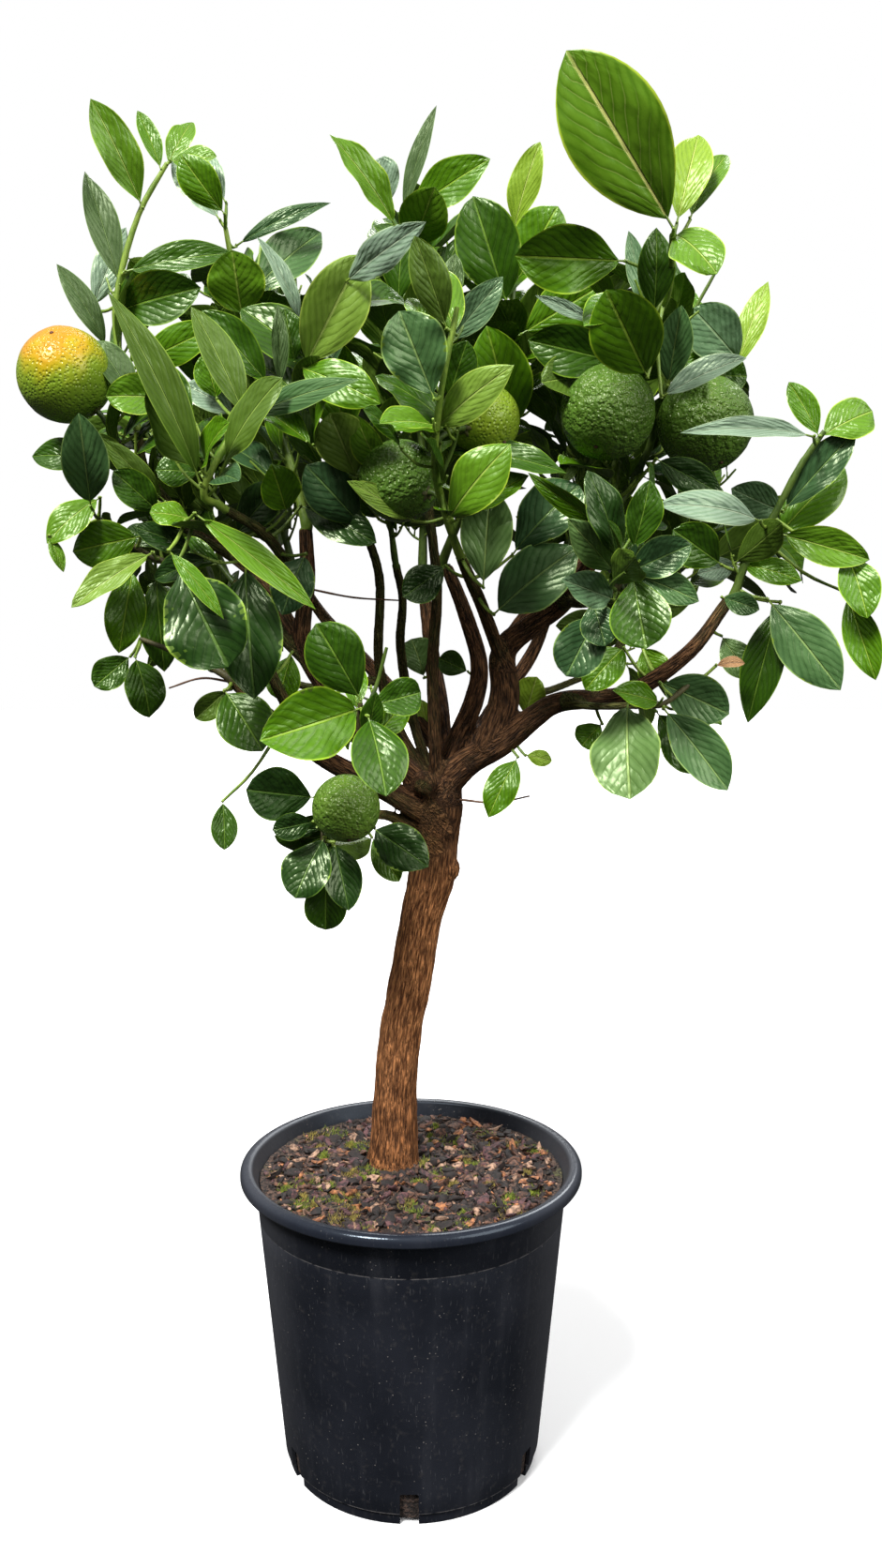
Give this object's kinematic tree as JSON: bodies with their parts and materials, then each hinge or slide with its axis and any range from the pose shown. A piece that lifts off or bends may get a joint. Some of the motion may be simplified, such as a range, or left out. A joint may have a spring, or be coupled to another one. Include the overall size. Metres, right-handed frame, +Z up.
{
  "type": "potted citrus tree",
  "caption": "Young citrus tree with a round leafy crown and green fruit, on a leaning trunk in a black nursery pot.",
  "frame": {"origin": "centre of the pot's flat underside", "axes": "+Z up from the underside to the top of the crown, -Y towards the front of the tree, +X to its right"},
  "size_m": [0.5855, 0.4049, 0.9716],
  "materials": {
    "black_plastic": "satin black moulded plastic, lightly scuffed and dusty",
    "soil": "damp bark compost with moss",
    "bark": "finely fissured brown bark",
    "foliage": "glossy dark green leaves, green twigs and fruit"
  },
  "bodies": {
    "root": {"pot": "black_plastic", "soil": "soil", "trunk": "bark", "right_bough": "bark", "centre_right_bough": "bark", "centre_left_bough": "bark", "left_upright_bough": "bark", "left_low_bough": "bark", "back_centre_bough": "bark", "right_inner_bough": "bark", "green_leader_bough": "bark", "centre_upright_bough": "bark", "thin_left_bough": "bark", "left_slender_bough": "bark", "left_high_bough": "bark", "far_left_bough": "bark", "left_side_bough": "bark", "front_left_bough": "bark", "front_left_upper_bough": "bark", "low_left_bough": "bark", "lowest_left_bough": "bark", "front_right_bough": "bark", "low_right_bough": "bark", "back_left_bough": "bark", "back_right_bough": "bark", "back_low_left_bough": "bark", "back_low_right_bough": "bark", "side_right_bough": "bark", "side_left_bough": "bark", "top_left_spray": "foliage", "left_fruit_spray": "foliage", "left_low_spray": "foliage", "left_under_spray": "foliage", "big_dark_spray": "foliage", "front_left_spray": "foliage", "upper_left_spray": "foliage", "upper_front_left_spray": "foliage", "centre_inner_spray": "foliage", "top_centre_spray": "foliage", "centre_front_spray": "foliage", "upper_centre_spray": "foliage", "crest_spray": "foliage", "right_fruit_spray": "foliage", "right_shoot_spray": "foliage", "right_middle_spray": "foliage", "low_right_spray": "foliage", "low_left_spray": "foliage", "lowest_left_spray": "foliage", "back_top_spray": "foliage", "back_left_spray": "foliage", "back_right_spray": "foliage", "back_low_left_spray": "foliage", "back_low_right_spray": "foliage", "side_right_spray": "foliage", "side_left_spray": "foliage"}
  },
  "joints": []
}
